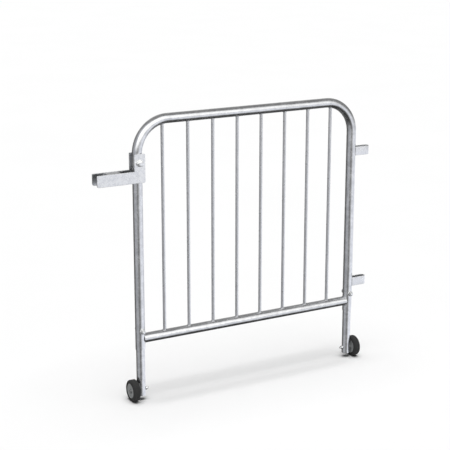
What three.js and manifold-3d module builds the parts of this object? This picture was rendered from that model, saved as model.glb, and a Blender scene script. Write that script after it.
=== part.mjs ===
// Livestock panel gate: a hoop of round tube filled with vertical bars, on two wheeled telescopic
// legs, with a drop-over latch fork on one post and two hinge straps on the other.
// Millimetres, +X along the panel towards the hinge post, +Y to the back, +Z up.
// Origin: on the ground, in the middle of the overall box.

import * as THREE from 'three';
import { mergeVertices } from 'three/addons/utils/BufferGeometryUtils.js';
import Module from 'manifold-3d';

const wasm = await Module();
wasm.setup();

// ---------- driving dimensions ----------

const GAP = 0.3; // left between pieces that touch

// frame
const POST_SPACING = 1075; // post centre to post centre
const TOP_RAIL_Z = 1225; // centre line
const LOWER_RAIL_Z = 279; // centre line
const LOWER_RAIL_INSET = 13.5; // post centre to the rail's square-cut end
const POST_END_Z = 231;
const TUBE_RADIUS = 21.2;
const TUBE_BORE = 19.3;
const BEND_RADIUS = 140; // centre line
const BAR_COUNT = 8;
const BAR_PITCH = 120;
const BAR_RADIUS = 7;

// telescopic legs
const LEG_RADIUS = 19;
const LEG_BORE = 17;
const LEG_END_Z = 20;
const LEG_TOP_Z = 520;
const LEG_BOLT_Z = 317;
const LEG_LIFT = 60; // how far a leg slides up into its post
const LEG_DROP = 90; // and down out of it

// wheels
const WHEEL_RADIUS = 47.5;
const TYRE_WIDTH = 32;
const TYRE_SEAT_RADIUS = 33;
const TYRE_SHOULDER = 9;
const BUSH_RADIUS = 7;
const HUB_BOSS_RADIUS = 12;
const HUB_POCKET_RADIUS = 11.5;
const HUB_POCKET_DEPTH = 5.5;
const HUB_LIP = 2.5; // width of the raised rim of the hub's faces
const HUB_DISH = 1.5; // depth of the faces inside that rim

// latch fork
const FORK_ARM_Z = 993; // centre of the level arm
const FORK_BAR_WIDTH = 50; // flat bar that both plates are cut from
const FORK_PLATE = 5;
const FORK_REACH = 193; // post centre to the tip of the arm
const FORK_TOP_Z = 1090;
const FORK_INNER = 21.7; // half the space between the plates
const FORK_CORNER = 6; // radius of the corners at the post
const FORK_TOE = 9; // radius of the arm's lower corner at its tip
const FORK_SLOT_DEPTH = 51;
const FORK_SPACER_LENGTH = 61;
const FORK_SPACER_DROP = 1; // top of the spacer below the top of the plates
const FORK_PIVOT_Z = 1052;
const FORK_STOP_THICKNESS = 5;
const FORK_STOP_HEIGHT = 24;
const FORK_STOP_LIFT = 4; // above the plates' lower edge

// hinge straps
const STRAP_Z = [993, 371]; // centres of the upper and the lower strap
const STRAP_HEIGHT = 40;
const STRAP_THICKNESS = 5;
const STRAP_OUTER_RADIUS = 15; // of the closed end, and half the strap's width
const STRAP_REACH = 95; // post centre to the closed end

// fasteners: shank radius, width across the flats, head height, nut height, washer radius, washer
const M16 = { shank: 8, flats: 24, head: 10, nut: 13, washerRadius: 15, washer: 3 };
const M12 = { shank: 6, flats: 19, head: 7.5, nut: 10, washerRadius: 12, washer: 2.5 };
const M8 = { shank: 4, flats: 13, head: 5.3, nut: 6.5, washerRadius: 8, washer: 1.6 };
const FORK_BOLT_TIP = 46.5; // from the post centre
const LEG_BOLT_TIP = 42;
const AXLE_BOLT_TIP = 35;
const BOLT_CHAMFER = 1;

// facets of a full turn
const TUBE_SIDES = 24;
const BEND_STEPS = 8; // of a quarter turn
const ROD_SIDES = 16;
const TYRE_SIDES = 48;
const HUB_SIDES = 32;
const SHOULDER_STEPS = 4;
const CORNER_STEPS = 3;

// ---------- derived places ----------

const POST_X = POST_SPACING / 2;
const LEFT_END = -POST_X - FORK_REACH;
const RIGHT_END = POST_X + STRAP_REACH;
const CENTRE_X = (LEFT_END + RIGHT_END) / 2;
const WHEEL_START = LEG_RADIUS + GAP + M8.washer + GAP; // post centre to the wheel's inner face
const STRAP_HOLD = TUBE_RADIUS + GAP; // radius left free round the hinge post

const STEEL = { color: 0xb9bcc0, roughness: 0.42, metalness: 0.85 };
const PLATE = { color: 0xc9ccd2, roughness: 0.5, metalness: 0.75 };
const BRIGHT = { color: 0xdcdedf, roughness: 0.25, metalness: 0.95 };
const RUBBER = { color: 0x2f302f, roughness: 0.85, metalness: 0 };
const HUB_GREY = { color: 0x8f9192, roughness: 0.6, metalness: 0.1 };
const NYLON = { color: 0xe6e3d8, roughness: 0.5, metalness: 0 };

// ---------- solids ----------

/** The manifold solid of a closed geometry. */
function solid(geometry) {
  const bare = geometry.index ? geometry.toNonIndexed() : geometry.clone();
  bare.deleteAttribute('normal');
  bare.deleteAttribute('uv');
  const merged = mergeVertices(bare, 1e-4);
  const mesh = new wasm.Mesh({
    numProp: 3,
    vertProperties: new Float32Array(merged.attributes.position.array),
    triVerts: new Uint32Array(merged.index.array),
  });
  return new wasm.Manifold(mesh);
}

/** The geometry of a manifold solid. */
function geometryOf(body) {
  const mesh = body.getMesh();
  const geometry = new THREE.BufferGeometry();
  geometry.setAttribute('position', new THREE.BufferAttribute(mesh.vertProperties, 3));
  geometry.setIndex(new THREE.BufferAttribute(mesh.triVerts, 1));
  return geometry;
}

/** A geometry with other geometries cut out of it. */
function cut(geometry, ...tools) {
  return geometryOf(tools.reduce((body, tool) => body.subtract(solid(tool)), solid(geometry)));
}

/** Several geometries joined into one body. */
function join(first, ...others) {
  return geometryOf(others.reduce((body, other) => body.add(solid(other)), solid(first)));
}

/** Points of a circle, with one at each end of both axes. */
function circle(radius, sides) {
  const angles = Array.from({ length: sides }, (_, i) => (i * 2 * Math.PI) / sides);
  return angles.map((a) => new THREE.Vector2(radius * Math.cos(a), radius * Math.sin(a)));
}

/** Section of a tube, or of a round rod when there is no bore. */
function ring(radius, bore, sides) {
  const shape = new THREE.Shape(circle(radius, sides));
  if (bore) shape.holes.push(new THREE.Path(circle(bore, sides)));
  return shape;
}

/** A straight tube or rod that starts at the origin and runs along +Z. */
function tube(radius, bore, length, sides) {
  return new THREE.ExtrudeGeometry(ring(radius, bore, sides), { depth: length, bevelEnabled: false });
}

/** A rod with both ends chamfered, from one place to another along +Z. */
function rod(radius, from, to, chamfer, sides = ROD_SIDES) {
  const profile = [
    new THREE.Vector2(0, from),
    new THREE.Vector2(radius - chamfer, from),
    new THREE.Vector2(radius, from + chamfer),
    new THREE.Vector2(radius, to - chamfer),
    new THREE.Vector2(radius - chamfer, to),
    new THREE.Vector2(0, to),
  ];
  return new THREE.LatheGeometry(profile, sides).rotateX(Math.PI / 2);
}

/** A hexagon block along +Z with a corner on the X axis, with a hole when bore isn't 0. */
function hexagon(flats, bore, from, to) {
  const shape = new THREE.Shape(circle(flats / Math.sqrt(3), 6));
  if (bore) shape.holes.push(new THREE.Path(circle(bore, ROD_SIDES)));
  const block = new THREE.ExtrudeGeometry(shape, { depth: to - from, bevelEnabled: false });
  return block.translate(0, 0, from);
}

/** A plate of some outline in X and Z, with round holes, that fills a stretch of Y. */
function plate(outline, holes, from, to) {
  const shape = new THREE.Shape(outline);
  for (const hole of holes) {
    const points = circle(hole.radius, ROD_SIDES).map((p) => p.add(hole.centre));
    shape.holes.push(new THREE.Path(points));
  }
  const slab = new THREE.ExtrudeGeometry(shape, { depth: to - from, bevelEnabled: false });
  return slab.rotateX(Math.PI / 2).translate(0, to, 0);
}

/** A path of straight runs and bends that is sampled at its stations only. */
class StationPath extends THREE.Curve {
  constructor(points, tangents) {
    super();
    this.points = points;
    this.tangents = tangents;
  }

  getPointAt(u, target = new THREE.Vector3()) {
    return target.copy(this.points[Math.round(u * (this.points.length - 1))]);
  }

  getTangentAt(u, target = new THREE.Vector3()) {
    return target.copy(this.tangents[Math.round(u * (this.tangents.length - 1))]);
  }
}

/** Stations of the hoop's centre line, from the left post's end over the top to the right one. */
function hoopPath() {
  const points = [new THREE.Vector3(-POST_X, 0, POST_END_Z)];
  const tangents = [new THREE.Vector3(0, 0, 1)];
  for (const side of [-1, 1]) {
    for (let step = 0; step <= BEND_STEPS; step += 1) {
      const quarter = ((Math.PI / 2) * step) / BEND_STEPS;
      const turn = side < 0 ? quarter : Math.PI / 2 - quarter; // up from the level of the post
      const centreX = side * (POST_X - BEND_RADIUS);
      const x = centreX + side * BEND_RADIUS * Math.cos(turn);
      const z = TOP_RAIL_Z - BEND_RADIUS + BEND_RADIUS * Math.sin(turn);
      points.push(new THREE.Vector3(x, 0, z));
      tangents.push(new THREE.Vector3(Math.sin(turn), 0, -side * Math.cos(turn)));
    }
  }
  points.push(new THREE.Vector3(POST_X, 0, POST_END_Z));
  tangents.push(new THREE.Vector3(0, 0, -1));
  return new StationPath(points, tangents);
}

/** The hoop as a tube, or as the solid that pieces welded to it are cut back by. */
function hoopTube(radius, bore) {
  const path = hoopPath();
  const steps = path.points.length - 1;
  return new THREE.ExtrudeGeometry(ring(radius, bore, TUBE_SIDES), { steps, extrudePath: path });
}

/** A round cutter along +Y through a place. */
function crossHole(radius, x, z) {
  const length = 4 * TUBE_RADIUS;
  return new THREE.CylinderGeometry(radius, radius, length, ROD_SIDES).translate(x, 0, z);
}

// ---------- frame ----------

const hoopCutter = hoopTube(TUBE_RADIUS + GAP, 0);

function frameHoop() {
  const holes = [crossHole(M16.shank + GAP, -POST_X, FORK_PIVOT_Z)];
  for (const side of [-1, 1]) holes.push(crossHole(M12.shank + GAP, side * POST_X, LEG_BOLT_Z));
  return cut(hoopTube(TUBE_RADIUS, TUBE_BORE), ...holes);
}

function lowerRail() {
  const length = POST_SPACING - 2 * LOWER_RAIL_INSET;
  const rail = tube(TUBE_RADIUS, TUBE_BORE, length, TUBE_SIDES);
  rail.rotateY(Math.PI / 2).translate(-length / 2, 0, LOWER_RAIL_Z);
  return cut(rail, hoopCutter);
}

function bar(x) {
  const rail = tube(TUBE_RADIUS + GAP, 0, POST_SPACING, TUBE_SIDES);
  rail.rotateY(Math.PI / 2).translate(-POST_X, 0, LOWER_RAIL_Z);
  const upright = tube(BAR_RADIUS, 0, TOP_RAIL_Z - LOWER_RAIL_Z, ROD_SIDES);
  return cut(upright.translate(x, 0, LOWER_RAIL_Z), rail, hoopCutter);
}

/** A hinge strap: flat bar bent into a U on its side, its two ends against the hinge post. */
function hingeStrap(z) {
  const endX = STRAP_REACH - STRAP_OUTER_RADIUS;
  const outline = new THREE.Shape();
  const inner = STRAP_OUTER_RADIUS - STRAP_THICKNESS;
  outline.moveTo(0, -STRAP_OUTER_RADIUS);
  outline.absarc(endX, 0, STRAP_OUTER_RADIUS, -Math.PI / 2, Math.PI / 2, false);
  outline.lineTo(0, STRAP_OUTER_RADIUS);
  outline.lineTo(0, inner);
  outline.absarc(endX, 0, inner, Math.PI / 2, -Math.PI / 2, true);
  outline.lineTo(0, -inner);
  const options = { depth: STRAP_HEIGHT, bevelEnabled: false, curveSegments: BEND_STEPS / 2 };
  const strap = new THREE.ExtrudeGeometry(outline, options);
  const post = tube(STRAP_HOLD, 0, 2 * STRAP_HEIGHT, TUBE_SIDES).translate(0, 0, -STRAP_HEIGHT / 2);
  return cut(strap, post).translate(POST_X, 0, z - STRAP_HEIGHT / 2);
}

// ---------- legs ----------

/** A leg tube with a slot for its bolt, front and back, and a hole for its axle. */
function leg(side) {
  const shank = M12.shank + GAP;
  const slot = new THREE.BoxGeometry(2 * shank, 4 * TUBE_RADIUS, LEG_LIFT + LEG_DROP);
  slot.translate(0, 0, LEG_BOLT_Z + (LEG_DROP - LEG_LIFT) / 2);
  const ends = [-LEG_LIFT, LEG_DROP].map((rise) => crossHole(shank, 0, LEG_BOLT_Z + rise));
  const axle = tube(M8.shank + GAP, 0, 4 * LEG_RADIUS, ROD_SIDES);
  axle.rotateY(Math.PI / 2).translate(-2 * LEG_RADIUS, 0, WHEEL_RADIUS);
  const blank = tube(LEG_RADIUS, LEG_BORE, LEG_TOP_Z - LEG_END_Z, TUBE_SIDES).translate(0, 0, LEG_END_Z);
  return cut(blank, slot, ...ends, axle).translate(side * POST_X, 0, 0);
}

// ---------- wheels, with their axis along +Z and their inner face at 0 ----------

/** Half outline of a tyre: flat seat, straight walls and a crown with round shoulders. */
function tyreProfile() {
  const profile = [new THREE.Vector2(TYRE_SEAT_RADIUS, 0)];
  for (const [centre, start] of [[TYRE_SHOULDER, -Math.PI / 2], [TYRE_WIDTH - TYRE_SHOULDER, 0]]) {
    for (let step = 0; step <= SHOULDER_STEPS; step += 1) {
      const angle = start + ((Math.PI / 2) * step) / SHOULDER_STEPS;
      const radius = WHEEL_RADIUS - TYRE_SHOULDER + TYRE_SHOULDER * Math.cos(angle);
      profile.push(new THREE.Vector2(radius, centre + TYRE_SHOULDER * Math.sin(angle)));
    }
  }
  profile.push(new THREE.Vector2(TYRE_SEAT_RADIUS, TYRE_WIDTH));
  profile.push(profile[0].clone());
  return profile;
}

/** Half outline of a hub: raised rims, dished faces and a pocket for the bolt head outside. */
function hubProfile() {
  const edge = TYRE_SEAT_RADIUS - GAP;
  const bore = BUSH_RADIUS + GAP;
  const inFace = HUB_DISH;
  const outFace = TYRE_WIDTH - HUB_DISH;
  const profile = [
    [bore, 0],
    [HUB_BOSS_RADIUS, 0],
    [HUB_BOSS_RADIUS, inFace + HUB_DISH],
    [edge - HUB_LIP - HUB_DISH, inFace + HUB_DISH],
    [edge - HUB_LIP, inFace],
    [edge, inFace],
    [edge, outFace],
    [edge - HUB_LIP, outFace],
    [edge - HUB_LIP - HUB_DISH, outFace - HUB_DISH],
    [HUB_POCKET_RADIUS, outFace - HUB_DISH],
    [HUB_POCKET_RADIUS, outFace - HUB_POCKET_DEPTH],
    [bore, outFace - HUB_POCKET_DEPTH],
    [bore, 0],
  ];
  return profile.map(([radius, along]) => new THREE.Vector2(radius, along));
}

/** A closed ring turned round +Z from its half outline. */
function turned(profile, sides) {
  return new THREE.LatheGeometry(profile, sides).rotateX(Math.PI / 2);
}

const POCKET_FLOOR = TYRE_WIDTH - HUB_DISH - HUB_POCKET_DEPTH;

function hubBush() {
  return tube(BUSH_RADIUS, M8.shank + GAP, POCKET_FLOOR, ROD_SIDES);
}

// ---------- fork ----------

/** Points of a quarter round from one angle, about the centre that its two straight edges share. */
function roundCorner(x, z, radius, start) {
  const points = [];
  for (let step = 0; step <= CORNER_STEPS; step += 1) {
    const angle = start + ((Math.PI / 2) * step) / CORNER_STEPS;
    points.push(new THREE.Vector2(x + radius * Math.cos(angle), z + radius * Math.sin(angle)));
  }
  return points;
}

/** Outline of a fork plate in X and Z, from the post centre and the pivot's level. */
function forkOutline() {
  const half = FORK_BAR_WIDTH / 2;
  const low = FORK_ARM_Z - half - FORK_PIVOT_Z;
  const top = FORK_TOP_Z - FORK_PIVOT_Z;
  const inner = half - FORK_CORNER;
  return [
    ...roundCorner(-FORK_REACH + FORK_TOE, low + FORK_TOE, FORK_TOE, -Math.PI),
    ...roundCorner(inner, low + FORK_CORNER, FORK_CORNER, -Math.PI / 2),
    ...roundCorner(inner, top - FORK_CORNER, FORK_CORNER, 0),
    new THREE.Vector2(-half, top),
    new THREE.Vector2(-half, low + FORK_BAR_WIDTH),
    new THREE.Vector2(-FORK_REACH, low + FORK_BAR_WIDTH),
  ];
}

function forkPlate(side) {
  const holes = [{ radius: M16.shank + GAP, centre: new THREE.Vector2(0, 0) }];
  const faces = [side * FORK_INNER, side * (FORK_INNER + FORK_PLATE)];
  return plate(forkOutline(), holes, Math.min(...faces), Math.max(...faces));
}

function forkSpacer() {
  const depth = 2 * (FORK_INNER - GAP);
  const height = FORK_BAR_WIDTH - 2 * FORK_SPACER_DROP;
  const block = new THREE.BoxGeometry(FORK_SPACER_LENGTH, depth, height);
  const x = -FORK_REACH + FORK_SLOT_DEPTH + FORK_SPACER_LENGTH / 2;
  return block.translate(x, 0, FORK_ARM_Z - FORK_PIVOT_Z);
}

/** The block that rests on the post and keeps the arm level. */
function forkStop() {
  const depth = 2 * (FORK_INNER - GAP);
  const block = new THREE.BoxGeometry(FORK_STOP_THICKNESS, depth, FORK_STOP_HEIGHT);
  const low = FORK_ARM_Z - FORK_BAR_WIDTH / 2 - FORK_PIVOT_Z;
  const x = -TUBE_RADIUS - GAP - FORK_STOP_THICKNESS / 2;
  return block.translate(x, 0, low + FORK_STOP_LIFT + FORK_STOP_HEIGHT / 2);
}

// ---------- fasteners, along +Z ----------

function bolt(size, headFrom, tip) {
  const shank = rod(size.shank, headFrom - size.head / 2, tip, BOLT_CHAMFER);
  return join(hexagon(size.flats, 0, headFrom - size.head, headFrom), shank);
}

function nut(size, from) {
  return hexagon(size.flats, size.shank + GAP, from, from + size.nut);
}

function washer(size, from) {
  return tube(size.washerRadius, size.shank + GAP, size.washer, ROD_SIDES).translate(0, 0, from);
}

// ---------- assembly ----------

const gate = new THREE.Group();
gate.position.x = -CENTRE_X;

/** Adds one named mesh to a group. */
function add(parent, name, geometry, finish) {
  const mesh = new THREE.Mesh(geometry, new THREE.MeshStandardMaterial(finish));
  mesh.name = name;
  parent.add(mesh);
  return mesh;
}

/** A group whose +Z runs along a direction, at a place. */
function axisGroup(place, direction) {
  const group = new THREE.Group();
  group.position.copy(place);
  group.quaternion.setFromUnitVectors(new THREE.Vector3(0, 0, 1), direction);
  gate.add(group);
  return group;
}

add(gate, 'frame_hoop', frameHoop(), STEEL);
add(gate, 'lower_rail', lowerRail(), STEEL);
for (let i = 0; i < BAR_COUNT; i += 1) {
  const x = (i - (BAR_COUNT - 1) / 2) * BAR_PITCH;
  add(gate, `bar_${i + 1}`, bar(x), STEEL);
}
add(gate, 'hinge_strap_upper', hingeStrap(STRAP_Z[0]), PLATE);
add(gate, 'hinge_strap_lower', hingeStrap(STRAP_Z[1]), PLATE);

const forkGroup = new THREE.Group();
forkGroup.position.set(-POST_X, 0, FORK_PIVOT_Z);
gate.add(forkGroup);
add(forkGroup, 'fork_plate_front', forkPlate(-1), PLATE);
add(forkGroup, 'fork_plate_rear', forkPlate(1), PLATE);
add(forkGroup, 'fork_spacer', forkSpacer(), PLATE);
add(forkGroup, 'fork_stop', forkStop(), PLATE);

// the fork bolt's head is at the front, so its group runs to the back
const back = new THREE.Vector3(0, 1, 0);
const front = new THREE.Vector3(0, -1, 0);
const forkFace = FORK_INNER + FORK_PLATE + GAP;
const forkBolt = axisGroup(new THREE.Vector3(-POST_X, 0, FORK_PIVOT_Z), back);
const forkHead = -forkFace - M16.washer - GAP;
add(forkBolt, 'fork_bolt', bolt(M16, forkHead, FORK_BOLT_TIP), BRIGHT);
add(forkBolt, 'fork_washer_front', washer(M16, -forkFace - M16.washer), BRIGHT);
add(forkBolt, 'fork_washer_rear', washer(M16, forkFace), BRIGHT);
add(forkBolt, 'fork_nut', nut(M16, forkFace + M16.washer + GAP), BRIGHT);

for (const [hand, side] of [['left', -1], ['right', 1]]) {
  add(gate, `leg_${hand}`, leg(side), STEEL);

  // the leg bolt's head is at the back, so its group runs to the front
  const legBolt = axisGroup(new THREE.Vector3(side * POST_X, 0, LEG_BOLT_Z), front);
  const postFace = TUBE_RADIUS + GAP;
  add(legBolt, `leg_bolt_${hand}`, bolt(M12, -postFace - M12.washer - GAP, LEG_BOLT_TIP), BRIGHT);
  add(legBolt, `leg_head_washer_${hand}`, washer(M12, -postFace - M12.washer), BRIGHT);
  add(legBolt, `leg_nut_washer_${hand}`, washer(M12, postFace), BRIGHT);
  add(legBolt, `leg_nut_${hand}`, nut(M12, postFace + M12.washer + GAP), BRIGHT);

  // wheel and axle are built outwards from the leg's centre
  const place = new THREE.Vector3(side * POST_X, 0, WHEEL_RADIUS);
  const outward = new THREE.Vector3(side, 0, 0);
  const axle = axisGroup(place, outward);
  const wheel = axisGroup(place.clone().addScaledVector(outward, WHEEL_START), outward);
  add(wheel, `tyre_${hand}`, turned(tyreProfile(), TYRE_SIDES), RUBBER);
  add(wheel, `wheel_hub_${hand}`, turned(hubProfile(), HUB_SIDES), HUB_GREY);
  add(wheel, `hub_bush_${hand}`, hubBush(), NYLON);

  const legFace = LEG_RADIUS + GAP;
  const headWasher = WHEEL_START + POCKET_FLOOR + GAP;
  const headFace = headWasher + M8.washer + GAP;
  const cornersLevel = Math.PI / 6; // turns the hexagons of the axle from corner up to flat up
  const turnedBolt = bolt(M8, -headFace, AXLE_BOLT_TIP).rotateY(Math.PI).rotateZ(cornersLevel);
  add(axle, `axle_bolt_${hand}`, turnedBolt, BRIGHT);
  add(axle, `axle_head_washer_${hand}`, washer(M8, headWasher), BRIGHT);
  add(axle, `axle_spacer_${hand}`, washer(M8, legFace), BRIGHT);
  add(axle, `axle_nut_washer_${hand}`, washer(M8, -legFace - M8.washer), BRIGHT);
  const axleNut = nut(M8, -legFace - M8.washer - GAP - M8.nut).rotateZ(cornersLevel);
  add(axle, `axle_nut_${hand}`, axleNut, BRIGHT);
}

export default gate;
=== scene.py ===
"""Livestock panel gate: a bent tube frame with upright bars, two wheeled telescopic legs,
a drop-over latch fork on one post and two hinge straps on the other.

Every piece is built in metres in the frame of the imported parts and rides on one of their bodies.
"""

from __future__ import annotations

import logging
import math
from collections.abc import Callable, Iterable, Mapping, Sequence
from dataclasses import dataclass, field
from enum import Enum
from typing import Any

import bmesh
import bpy
from mathutils import Matrix, Vector
from mathutils.geometry import tessellate_polygon

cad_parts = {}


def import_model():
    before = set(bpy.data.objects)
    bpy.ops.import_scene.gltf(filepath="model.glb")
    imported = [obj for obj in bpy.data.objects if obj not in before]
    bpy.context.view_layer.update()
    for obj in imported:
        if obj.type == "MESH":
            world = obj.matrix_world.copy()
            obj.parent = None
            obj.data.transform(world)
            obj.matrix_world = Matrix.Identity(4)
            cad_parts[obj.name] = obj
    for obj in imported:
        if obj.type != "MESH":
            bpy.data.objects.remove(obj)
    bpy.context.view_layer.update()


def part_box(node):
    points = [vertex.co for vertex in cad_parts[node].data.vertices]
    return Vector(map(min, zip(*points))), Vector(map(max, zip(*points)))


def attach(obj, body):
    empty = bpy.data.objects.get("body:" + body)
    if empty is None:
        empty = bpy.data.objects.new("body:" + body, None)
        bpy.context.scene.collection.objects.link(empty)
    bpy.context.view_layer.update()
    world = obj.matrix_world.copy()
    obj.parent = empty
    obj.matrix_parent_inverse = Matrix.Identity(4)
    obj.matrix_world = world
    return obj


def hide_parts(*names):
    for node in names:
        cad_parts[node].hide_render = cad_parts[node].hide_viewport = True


LOG = logging.getLogger("gate")

MM = 0.001
TAU = 2 * math.pi
TUBE_SIDES = 64
ROD_SIDES = 40
RING_SIDES = 96
HEX_SIDES = 72
SHARP_DEGREES = 32  # an edge at least as sharp as this is shaded sharp
FLAT_SHARP = 18  # the same on flat bar
WELD_SHARP = 75  # on weld beads
THREAD_SHARP = 25  # on screw threads
BARS = 8
EMBED = 0.2 * MM  # how far a welded piece reaches into the one it is welded to
SLACK = 0.1 * MM  # room for rounding where corners are told apart by their place
KEEN = 0.01 * MM  # edge of the tools that cut slots and holes
STAND = Matrix.Rotation(math.radians(90), 4, "X")  # stands a flat drawing upright

Point2 = tuple[float, float]
Line = tuple[list[Vector], bool]  # a run of points and whether it is closed
Colour = tuple[float, float, float]
Point3 = tuple[float, float, float]
Socket = bpy.types.NodeSocket
Tint = Colour | Socket
Settings = Mapping[str, Any]
Inputs = Mapping[int | str, Any]
Test = Callable[[Vector], bool]


class Side(Enum):
    """The two ends of the panel, seen from the front."""

    LEFT = -1
    RIGHT = 1

    @property
    def label(self) -> str:
        """The word used in the names of parts."""
        return self.name.lower()


class Grain(Enum):
    """The way the zinc ran on a piece, as the scale of its streaks along each axis.

    Two names with the same value would be one, so no two are quite alike.
    """

    UPRIGHT = (1.0, 1.0, 0.07)
    LEVEL = (0.07, 1.0, 1.0)
    ALONG_BEND = (1.0, 1.0, 0.071)
    NONE = (1.0, 1.0, 1.001)


# ---------------------------------------------------------------- node graphs


@dataclass(frozen=True)
class Value:
    """A number that varies from place to place: one socket of a graph."""

    graph: Graph
    socket: Socket

    def __add__(self, other: Value | float) -> Value:
        """This plus other."""
        return self.graph.math("ADD", self, other)

    def __radd__(self, other: float) -> Value:
        """Other plus this."""
        return self.graph.math("ADD", other, self)

    def __sub__(self, other: Value | float) -> Value:
        """This minus other."""
        return self.graph.math("SUBTRACT", self, other)

    def __rsub__(self, other: float) -> Value:
        """Other minus this."""
        return self.graph.math("SUBTRACT", other, self)

    def __mul__(self, other: Value | float) -> Value:
        """This times other."""
        return self.graph.math("MULTIPLY", self, other)

    def __rmul__(self, other: float) -> Value:
        """Other times this."""
        return self.graph.math("MULTIPLY", other, self)

    def __truediv__(self, other: Value | float) -> Value:
        """This over other."""
        return self.graph.math("DIVIDE", self, other)

    def ramp(self, low: Value | float, high: Value | float) -> Value:
        """0 below low, 1 above high and a smooth rise between.

        Args:
            low: Where it starts to rise.
            high: Where it is 1.

        Returns:
            The ramped value.
        """
        node = self.graph.node(
            "ShaderNodeMapRange",
            {"interpolation_type": "SMOOTHSTEP"},
            {"Value": self, "From Min": low, "From Max": high},
        )
        return Value(self.graph, node.outputs["Result"])

    def towards(self, other: Value | float, share: Value | float) -> Value:
        """This where share is 0 and other where share is 1."""
        return self + (other - self) * share


class Graph:
    """A node tree being written: every node but the maths of Value comes from node()."""

    def __init__(self, tree: bpy.types.NodeTree) -> None:
        """Starts from an empty tree."""
        self.tree = tree
        tree.nodes.clear()

    def node(
        self, kind: str, settings: Settings | None = None, inputs: Inputs | None = None
    ) -> bpy.types.Node:
        """Adds one node.

        Args:
            kind: The node's type.
            settings: Its own settings, set first.
            inputs: Values or links of its sockets, by name or number.

        Returns:
            The node.
        """
        made = self.tree.nodes.new(kind)
        for name, value in (settings or {}).items():
            setattr(made, name, value)
        for name, value in (inputs or {}).items():
            socket = made.inputs[name]
            if isinstance(value, Value):
                value = value.socket
            if isinstance(value, Socket):
                self.tree.links.new(value, socket)
            else:
                socket.default_value = value
        return made

    def first(
        self, kind: str, settings: Settings | None = None, inputs: Inputs | None = None
    ) -> Socket:
        """The first output of a node that node() adds."""
        return self.node(kind, settings, inputs).outputs[0]

    def value(self, node: bpy.types.Node, output: int | str = 0) -> Value:
        """One output of a node as a value."""
        return Value(self, node.outputs[output])

    def math(self, operation: str, *operands: Value | float) -> Value:
        """Adds one Math node.

        Args:
            operation: The node's operation, such as "ADD".
            operands: What it works on, in the node's order.

        Returns:
            The node's result.
        """
        inputs = dict(enumerate(operands))
        return Value(self, self.first("ShaderNodeMath", {"operation": operation}, inputs))

    def blend(self, share: Value, first: Tint, second: Tint) -> Socket:
        """The colour between two, as far along as share says."""
        ends = [(*c, 1) if isinstance(c, tuple) else c for c in (first, second)]
        inputs = {"Factor": share, 6: ends[0], 7: ends[1]}  # 6, 7 and output 2 are the colours
        return self.node("ShaderNodeMix", {"data_type": "RGBA"}, inputs).outputs[2]

    def noise(self, place: Socket, size: float, detail: float = 3) -> Value:
        """Cloudy noise around 0.5.

        Args:
            place: Where it is read.
            size: How large its clouds are, in metres.
            detail: How many finer layers it has.

        Returns:
            The noise.
        """
        inputs = {"Vector": place, "Scale": 1 / size, "Detail": detail}
        return Value(self, self.first("ShaderNodeTexNoise", {}, inputs))


# ---------------------------------------------------------------- finishes


@dataclass(frozen=True)
class Finish:
    """What every finish has: a name and the graph of one Principled surface."""

    name: str

    def material(self) -> bpy.types.Material:
        """The material, made the first time it is asked for.

        Returns:
            The material.
        """
        found = bpy.data.materials.get(self.name)
        if found:
            return found
        made = bpy.data.materials.new(self.name)
        made.use_nodes = True
        graph = Graph(made.node_tree)
        place = graph.node("ShaderNodeTexCoord").outputs["Object"]
        surface = graph.first("ShaderNodeBsdfPrincipled", {}, self.surface(graph, place))
        graph.node("ShaderNodeOutputMaterial", {}, {"Surface": surface})
        return made

    def surface(self, graph: Graph, place: Socket) -> dict[str, Any]:
        """The sockets of the surface; each finish has its own."""
        raise NotImplementedError

    @staticmethod
    def bump(graph: Graph, height: Value, depth: float) -> Socket:
        """A normal from a height.

        Args:
            graph: The graph to add to.
            height: From 0 to 1.
            depth: What 1 stands for, in metres.

        Returns:
            The normal.
        """
        inputs = {"Strength": 1.0, "Distance": depth, "Height": height}
        return graph.first("ShaderNodeBump", {}, inputs)


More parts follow.
